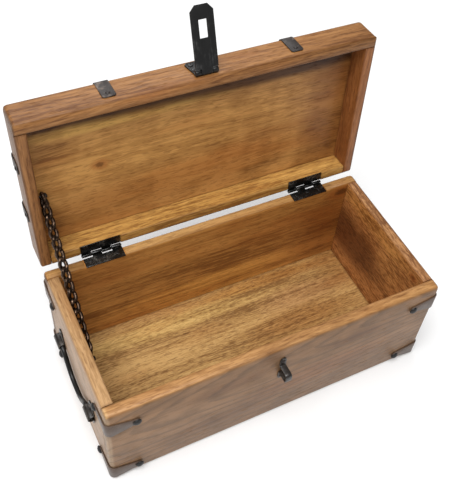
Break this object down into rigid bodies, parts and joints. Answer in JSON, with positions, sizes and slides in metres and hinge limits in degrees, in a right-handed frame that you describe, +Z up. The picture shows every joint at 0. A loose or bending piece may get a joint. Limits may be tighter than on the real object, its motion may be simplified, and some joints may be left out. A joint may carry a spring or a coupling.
{
  "type": "treasure chest",
  "caption": "Rectangular wooden chest with a flat hinged lid, iron corner brackets and bands, a hasp and staple, bail handles and a stay chain.",
  "frame": {"origin": "middle of the box's underside", "axes": "+X along the box to its right end, +Y from the front to the hinges, +Z up"},
  "size_m": [0.3174, 0.201, 0.3079],
  "materials": {
    "honey_wood": "oiled, satin",
    "pale_wood": "oiled, satin",
    "black_iron": "black, half gloss",
    "dark_bronze": "darkened"
  },
  "bodies": {
    "box": {"box_front": "honey_wood", "box_back": "honey_wood", "box_left_end": "honey_wood", "box_right_end": "honey_wood", "box_floor": "pale_wood", "bracket_front_left_low": "black_iron", "bracket_front_left_high": "black_iron", "bracket_front_right_low": "black_iron", "bracket_front_right_high": "black_iron", "bracket_back_left_low": "black_iron", "bracket_back_left_high": "black_iron", "bracket_back_right_low": "black_iron", "bracket_back_right_high": "black_iron", "handle_left_front_clip": "black_iron", "handle_left_rear_clip": "black_iron", "handle_right_front_clip": "black_iron", "handle_right_rear_clip": "black_iron", "hinge_left_box_leaf": "black_iron", "hinge_right_box_leaf": "black_iron", "hinge_left_pin": "black_iron", "hinge_right_pin": "black_iron", "hasp_staple": "black_iron", "chain_box_screw": "black_iron", "chain_link_01": "dark_bronze", "chain_link_02": "dark_bronze", "chain_link_03": "dark_bronze", "chain_link_04": "dark_bronze", "chain_link_05": "dark_bronze", "chain_link_06": "dark_bronze", "chain_link_07": "dark_bronze", "chain_link_08": "dark_bronze", "chain_link_09": "dark_bronze"},
    "lid": {"lid_front_rail": "honey_wood", "lid_back_rail": "honey_wood", "lid_left_end": "honey_wood", "lid_right_end": "honey_wood", "lid_top_panel": "honey_wood", "lid_band_left": "black_iron", "lid_band_right": "black_iron", "lid_end_strap_left_front": "black_iron", "lid_end_strap_left_rear": "black_iron", "lid_end_strap_right_front": "black_iron", "lid_end_strap_right_rear": "black_iron", "hinge_left_lid_leaf": "black_iron", "hinge_right_lid_leaf": "black_iron", "hasp_leaf": "black_iron", "hasp_pin": "black_iron", "chain_lid_screw": "black_iron", "chain_link_10": "dark_bronze", "chain_link_11": "dark_bronze", "chain_link_12": "dark_bronze", "chain_link_13": "dark_bronze", "chain_link_14": "dark_bronze", "chain_link_15": "dark_bronze", "chain_link_16": "dark_bronze"},
    "hasp": {"hasp_strap": "black_iron"},
    "handle_left": {"handle_left_bail": "black_iron"},
    "handle_right": {"handle_right_bail": "black_iron"}
  },
  "joints": [
    {"name": "lid_hinge", "type": "hinge", "parent": "box", "child": "lid", "pos_m": [0, 0.07635, 0.1056], "axis": [1, 0, 0], "range_deg": [0, 93.5], "deforming": ["chain_link_01", "chain_link_02", "chain_link_03", "chain_link_04", "chain_link_05", "chain_link_06", "chain_link_07", "chain_link_08", "chain_link_09", "chain_link_10", "chain_link_11", "chain_link_12", "chain_link_13", "chain_link_14", "chain_link_15", "chain_link_16"]},
    {"name": "hasp_hinge", "type": "hinge", "parent": "lid", "child": "hasp", "pos_m": [-0.0018, 0.09044, 0.25893], "axis": [1, 0, 0], "range_deg": [-70, 98.8]},
    {"name": "left_handle_swing", "type": "hinge", "parent": "box", "child": "handle_left", "pos_m": [-0.1553, 0, 0.053], "axis": [0, 1, 0], "range_deg": [0, 170]},
    {"name": "right_handle_swing", "type": "hinge", "parent": "box", "child": "handle_right", "pos_m": [0.1553, 0, 0.053], "axis": [0, -1, 0], "range_deg": [0, 170]}
  ]
}
